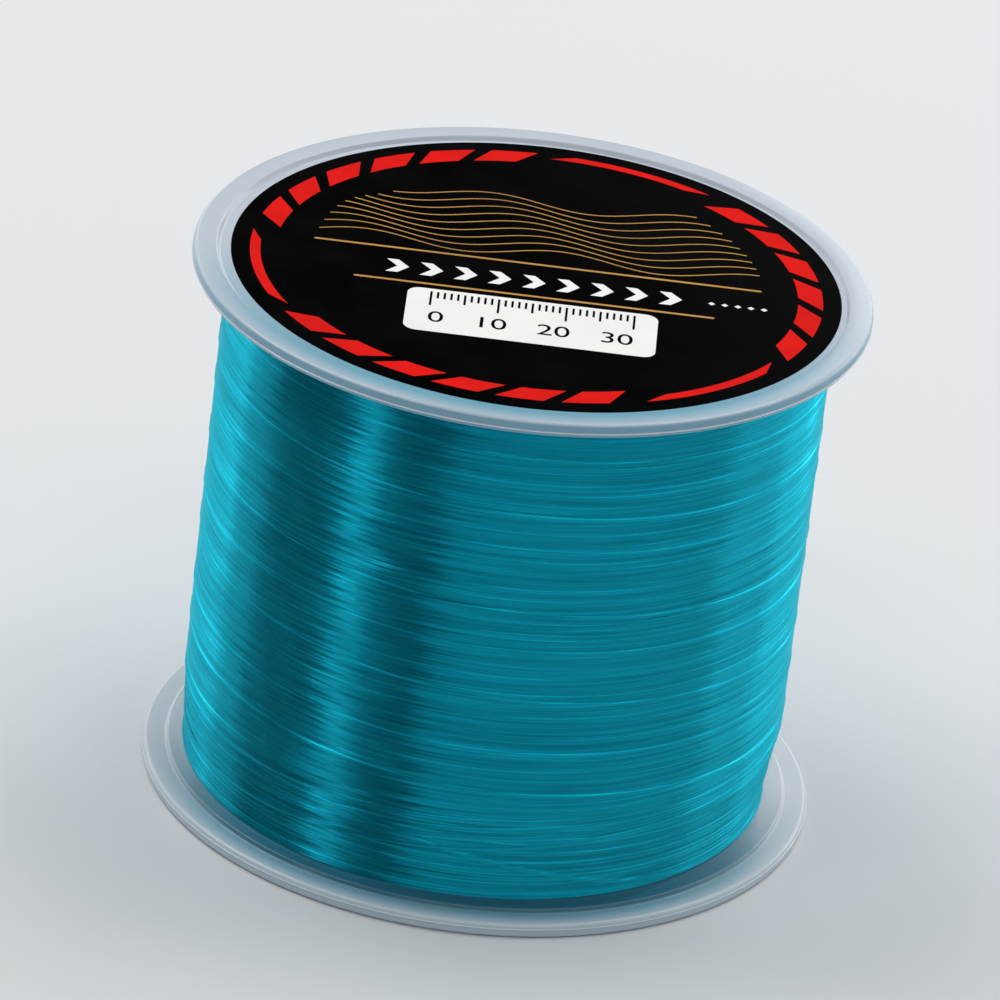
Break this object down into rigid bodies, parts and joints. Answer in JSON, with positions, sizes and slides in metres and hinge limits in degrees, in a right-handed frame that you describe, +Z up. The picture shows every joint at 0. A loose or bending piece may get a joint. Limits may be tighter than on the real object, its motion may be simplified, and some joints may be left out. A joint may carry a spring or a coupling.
{
  "type": "fishing line spool",
  "caption": "Round flanged spool of wound nylon fishing line, with a frosted snap-together drum, a spindle bore and a sticker in the upper flange.",
  "frame": {"origin": "on the spindle axis, in the plane that the lower flange's rim stands on", "axes": "+Z up along the spindle axis to the labelled flange, +X to the right and +Y away from the viewer in the picture, so that the line's running end goes down its slit at the back"},
  "size_m": [0.052, 0.052, 0.0434],
  "materials": {
    "frosted_plastic": "frosted translucent polypropylene",
    "label": "printed gloss film",
    "line": "glossy tinted nylon monofilament"
  },
  "bodies": {
    "root": {"lower_spool_half": "frosted_plastic", "upper_spool_half": "frosted_plastic", "top_label": "label", "line_inner_layers": "line", "line_outer_layer": "line"}
  },
  "joints": []
}
